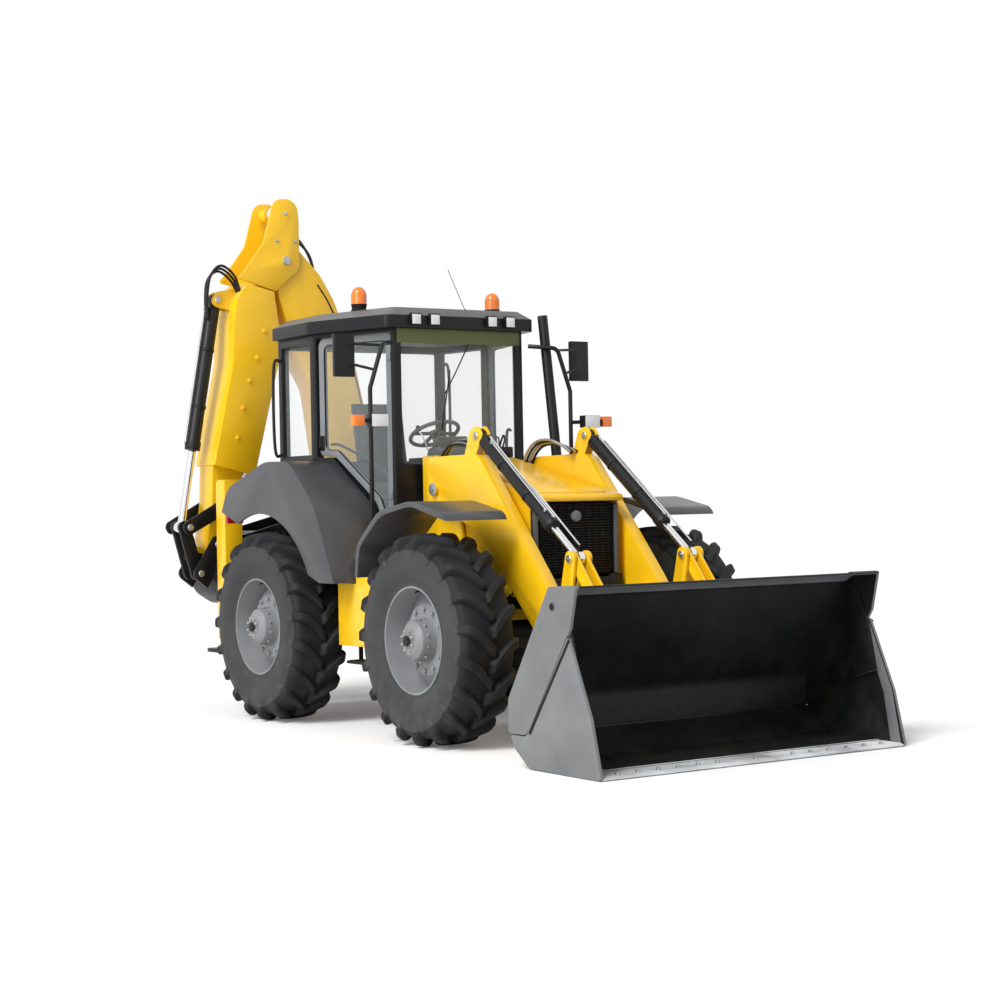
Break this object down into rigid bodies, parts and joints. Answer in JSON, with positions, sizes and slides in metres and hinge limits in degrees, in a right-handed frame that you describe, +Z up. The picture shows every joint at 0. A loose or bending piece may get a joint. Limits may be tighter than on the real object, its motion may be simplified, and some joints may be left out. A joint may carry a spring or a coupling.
{
  "type": "backhoe loader",
  "caption": "Four-wheel-steer backhoe loader with an opening front bucket, a glazed cab, side-shifting digging arm and stabiliser legs, parked for travel.",
  "frame": {"origin": "on the ground under the middle of the machine's overall length and width", "axes": "+X towards the loader bucket, +Y to the machine's left, +Z up"},
  "size_m": [5.952, 2.438, 4.105],
  "materials": {
    "yellow_paint": "semi-gloss paint",
    "black_paint": "satin paint",
    "engine_iron": "painted casting",
    "chrome_rod": "polished",
    "bucket_grey": "matt paint",
    "rim_grey": "satin paint",
    "tyre": "moulded rubber",
    "fender_plastic": "grained",
    "roof_plastic": "matt",
    "seat_fabric": "woven",
    "lamp_plastic": "clear amber",
    "glass": "clear with a green tint"
  },
  "bodies": {
    "base": {"chassis": "black_paint", "engine_block": "engine_iron", "driveline": "black_paint", "front_axle": "black_paint", "rear_axle": "black_paint", "cab_frame": "black_paint", "cab_roof": "roof_plastic", "cab_glass": "glass", "seat": "seat_fabric", "console": "fender_plastic", "hood": "yellow_paint", "grille": "black_paint", "fenders": "fender_plastic", "side_boxes": "yellow_paint", "roof_lights": "lamp_plastic", "lamp_posts": "black_paint", "exhaust": "black_paint"},
    "knuckle_front_left": {"knuckle_front_left": "black_paint"},
    "wheel_front_left": {"tyre_front_left": "tyre", "rim_front_left": "rim_grey"},
    "knuckle_front_right": {"knuckle_front_right": "black_paint"},
    "wheel_front_right": {"tyre_front_right": "tyre", "rim_front_right": "rim_grey"},
    "knuckle_rear_left": {"knuckle_rear_left": "black_paint"},
    "wheel_rear_left": {"tyre_rear_left": "tyre", "rim_rear_left": "rim_grey"},
    "knuckle_rear_right": {"knuckle_rear_right": "black_paint"},
    "wheel_rear_right": {"tyre_rear_right": "tyre", "rim_rear_right": "rim_grey"},
    "stabiliser_leg_left": {"stabiliser_leg_left": "yellow_paint"},
    "stabiliser_leg_right": {"stabiliser_leg_right": "yellow_paint"},
    "loader_arms": {"loader_arms": "yellow_paint"},
    "lift_barrels": {"lift_barrels": "black_paint"},
    "lift_rods": {"lift_rods": "chrome_rod"},
    "tilt_barrels": {"tilt_barrels": "black_paint"},
    "tilt_rods": {"tilt_rods": "chrome_rod"},
    "tilt_levers": {"tilt_levers": "yellow_paint"},
    "tilt_links": {"tilt_links": "yellow_paint"},
    "bucket_back": {"bucket_back": "bucket_grey"},
    "bucket_clam": {"bucket_clam": "bucket_grey"},
    "carriage": {"carriage": "black_paint"},
    "swing_post": {"swing_post": "black_paint"},
    "boom": {"boom": "yellow_paint"},
    "dipper": {"dipper": "yellow_paint"},
    "dipper_extension": {"dipper_extension": "yellow_paint"},
    "boom_barrel": {"boom_barrel": "black_paint"},
    "boom_rod": {"boom_rod": "chrome_rod"},
    "dipper_barrel": {"dipper_barrel": "black_paint"},
    "dipper_rod": {"dipper_rod": "chrome_rod"},
    "crowd_barrel": {"crowd_barrel": "black_paint"},
    "crowd_rod": {"crowd_rod": "chrome_rod"},
    "rockers": {"rockers": "black_paint"},
    "hoe_link": {"hoe_link": "black_paint"},
    "hoe_bucket": {"hoe_bucket": "black_paint"},
    "door_left": {"door_frame_left": "black_paint", "door_glass_left": "glass"},
    "door_right": {"door_frame_right": "black_paint", "door_glass_right": "glass"}
  },
  "joints": [
    {"name": "steer_front_left", "type": "hinge", "parent": "base", "child": "knuckle_front_left", "pos_m": [0.854, 0.72, 0.705], "axis": [0, 0, 1], "range_deg": [-18, 18]},
    {"name": "roll_front_left", "type": "hinge", "parent": "knuckle_front_left", "child": "wheel_front_left", "pos_m": [0.854, 0.95, 0.705], "axis": [0, 1, 0], "continuous": true},
    {"name": "steer_front_right", "type": "hinge", "parent": "base", "child": "knuckle_front_right", "pos_m": [0.854, -0.72, 0.705], "axis": [0, 0, 1], "range_deg": [-18, 18]},
    {"name": "roll_front_right", "type": "hinge", "parent": "knuckle_front_right", "child": "wheel_front_right", "pos_m": [0.854, -0.95, 0.705], "axis": [0, 1, 0], "continuous": true},
    {"name": "steer_rear_left", "type": "hinge", "parent": "base", "child": "knuckle_rear_left", "pos_m": [-1.346, 0.72, 0.705], "axis": [0, 0, 1], "range_deg": [-18, 18]},
    {"name": "roll_rear_left", "type": "hinge", "parent": "knuckle_rear_left", "child": "wheel_rear_left", "pos_m": [-1.346, 0.95, 0.705], "axis": [0, 1, 0], "continuous": true},
    {"name": "steer_rear_right", "type": "hinge", "parent": "base", "child": "knuckle_rear_right", "pos_m": [-1.346, -0.72, 0.705], "axis": [0, 0, 1], "range_deg": [-18, 18]},
    {"name": "roll_rear_right", "type": "hinge", "parent": "knuckle_rear_right", "child": "wheel_rear_right", "pos_m": [-1.346, -0.95, 0.705], "axis": [0, 1, 0], "continuous": true},
    {"name": "loader_lift", "type": "hinge", "parent": "base", "child": "loader_arms", "pos_m": [0.154, 0, 1.7], "axis": [0, -1, 0], "range_deg": [0, 82]},
    {"name": "lift_barrel_swing", "type": "hinge", "parent": "base", "child": "lift_barrels", "pos_m": [-0.016, 0, 0.93], "axis": [0, -1, 0], "range_deg": [-1, 52.76]},
    {"name": "lift_rod_slide", "type": "slide", "parent": "lift_barrels", "child": "lift_rods", "axis": [0.9949, 0, 0.1005], "range_m": [-0.004, 0.77373]},
    {"name": "bucket_tilt", "type": "hinge", "parent": "loader_arms", "child": "bucket_back", "pos_m": [1.944, 0, 0.3], "axis": [0, -1, 0], "range_deg": [-70, 32]},
    {"name": "bucket_clam_open", "type": "hinge", "parent": "bucket_back", "child": "bucket_clam", "pos_m": [2.529, 0, 0.987], "axis": [0, -1, 0], "range_deg": [0, 60]},
    {"name": "tilt_lever_swing", "type": "hinge", "parent": "loader_arms", "child": "tilt_levers", "pos_m": [1.654, 0, 0.66], "axis": [0, -1, 0], "range_deg": [-68.43, 31.82]},
    {"name": "tilt_link_swing", "type": "hinge", "parent": "tilt_levers", "child": "tilt_links", "pos_m": [1.774, 0, 1.235], "axis": [0, -1, 0], "range_deg": [-24.5, 52.41]},
    {"name": "tilt_barrel_swing", "type": "hinge", "parent": "loader_arms", "child": "tilt_barrels", "pos_m": [0.669, 0, 2.06], "axis": [0, -1, 0], "range_deg": [-1.81, 2.77]},
    {"name": "tilt_rod_slide", "type": "slide", "parent": "tilt_barrels", "child": "tilt_rods", "axis": [0.8013, 0, -0.5983], "range_m": [-0.25405, 0.551]},
    {"name": "stabiliser_left", "type": "slide", "parent": "base", "child": "stabiliser_leg_left", "axis": [0, 0, -1], "range_m": [0, 0.56]},
    {"name": "stabiliser_right", "type": "slide", "parent": "base", "child": "stabiliser_leg_right", "axis": [0, 0, -1], "range_m": [0, 0.56]},
    {"name": "side_shift", "type": "slide", "parent": "base", "child": "carriage", "axis": [0, 1, 0], "range_m": [-1.2, 0]},
    {"name": "swing", "type": "hinge", "parent": "carriage", "child": "swing_post", "pos_m": [-2.696, 0.6, 0.9], "axis": [0, 0, 1], "range_deg": [-180, 0]},
    {"name": "boom_lift", "type": "hinge", "parent": "swing_post", "child": "boom", "pos_m": [-2.696, 0.34, 0.95], "axis": [1, 0, 0], "range_deg": [0, 110]},
    {"name": "boom_barrel_swing", "type": "hinge", "parent": "swing_post", "child": "boom_barrel", "pos_m": [-2.696, 0.7, 1.3], "axis": [1, 0, 0], "range_deg": [-1, 101.27]},
    {"name": "boom_rod_slide", "type": "slide", "parent": "boom_barrel", "child": "boom_rod", "axis": [0, -0.2309, 0.973], "range_m": [-0.004, 0.78321]},
    {"name": "dipper_swing", "type": "hinge", "parent": "boom", "child": "dipper", "pos_m": [-2.696, -0.22, 3.6], "axis": [1, 0, 0], "range_deg": [-100, 0]},
    {"name": "dipper_barrel_swing", "type": "hinge", "parent": "boom", "child": "dipper_barrel", "pos_m": [-2.696, 0.34, 2.72], "axis": [1, 0, 0], "range_deg": [-13.68, 1]},
    {"name": "dipper_rod_slide", "type": "slide", "parent": "dipper_barrel", "child": "dipper_rod", "axis": [0, -0.4068, 0.9135], "range_m": [-0.56849, 0.004]},
    {"name": "dipper_extend", "type": "slide", "parent": "dipper", "child": "dipper_extension", "axis": [0, -0.241, -0.9705], "range_m": [0, 1]},
    {"name": "hoe_bucket_curl", "type": "hinge", "parent": "dipper_extension", "child": "hoe_bucket", "pos_m": [-2.696, -0.87, 1.3], "axis": [1, 0, 0], "range_deg": [-120, 0]},
    {"name": "rocker_swing", "type": "hinge", "parent": "dipper_extension", "child": "rockers", "pos_m": [-2.696, -0.8, 1.61], "axis": [1, 0, 0], "range_deg": [-90.22, 1]},
    {"name": "hoe_link_swing", "type": "hinge", "parent": "rockers", "child": "hoe_link", "pos_m": [-2.696, -1.12, 1.44], "axis": [1, 0, 0], "range_deg": [-1, 72.13]},
    {"name": "crowd_barrel_swing", "type": "hinge", "parent": "dipper_extension", "child": "crowd_barrel", "pos_m": [-2.696, -0.79, 3.27], "axis": [1, 0, 0], "range_deg": [-1, 3.4]},
    {"name": "crowd_rod_slide", "type": "slide", "parent": "crowd_barrel", "child": "crowd_rod", "axis": [0, -0.1775, -0.9841], "range_m": [-0.50858, 0.004]},
    {"name": "door_left_open", "type": "hinge", "parent": "base", "child": "door_left", "pos_m": [-0.324, 0.571, 2], "axis": [0, 0, 1], "range_deg": [-70, 0]},
    {"name": "door_right_open", "type": "hinge", "parent": "base", "child": "door_right", "pos_m": [-0.324, -0.571, 2], "axis": [0, 0, 1], "range_deg": [0, 70]}
  ],
  "couplings": [
    {"joint": "steer_front_right", "follows": "steer_front_left", "ratio": 1},
    {"joint": "steer_rear_right", "follows": "steer_rear_left", "ratio": 1},
    {"joint": "lift_barrel_swing", "follows": "loader_lift", "ratio": 0.63116},
    {"joint": "lift_rod_slide", "follows": "loader_lift", "m_per_rad": 0.53783},
    {"joint": "tilt_lever_swing", "follows": "bucket_tilt", "ratio": 0.96327},
    {"joint": "tilt_link_swing", "follows": "bucket_tilt", "ratio": -0.7345},
    {"joint": "tilt_barrel_swing", "follows": "bucket_tilt", "ratio": -0.025241},
    {"joint": "tilt_rod_slide", "follows": "bucket_tilt", "m_per_rad": -0.44772},
    {"joint": "boom_barrel_swing", "follows": "boom_lift", "ratio": 0.91156},
    {"joint": "boom_rod_slide", "follows": "boom_lift", "m_per_rad": 0.40586},
    {"joint": "dipper_barrel_swing", "follows": "dipper_swing", "ratio": 0.12676},
    {"joint": "dipper_rod_slide", "follows": "dipper_swing", "m_per_rad": 0.32343},
    {"joint": "rocker_swing", "follows": "hoe_bucket_curl", "ratio": 0.74352},
    {"joint": "hoe_link_swing", "follows": "hoe_bucket_curl", "ratio": -0.59274},
    {"joint": "crowd_barrel_swing", "follows": "hoe_bucket_curl", "ratio": -0.020028},
    {"joint": "crowd_rod_slide", "follows": "hoe_bucket_curl", "m_per_rad": 0.24092}
  ]
}
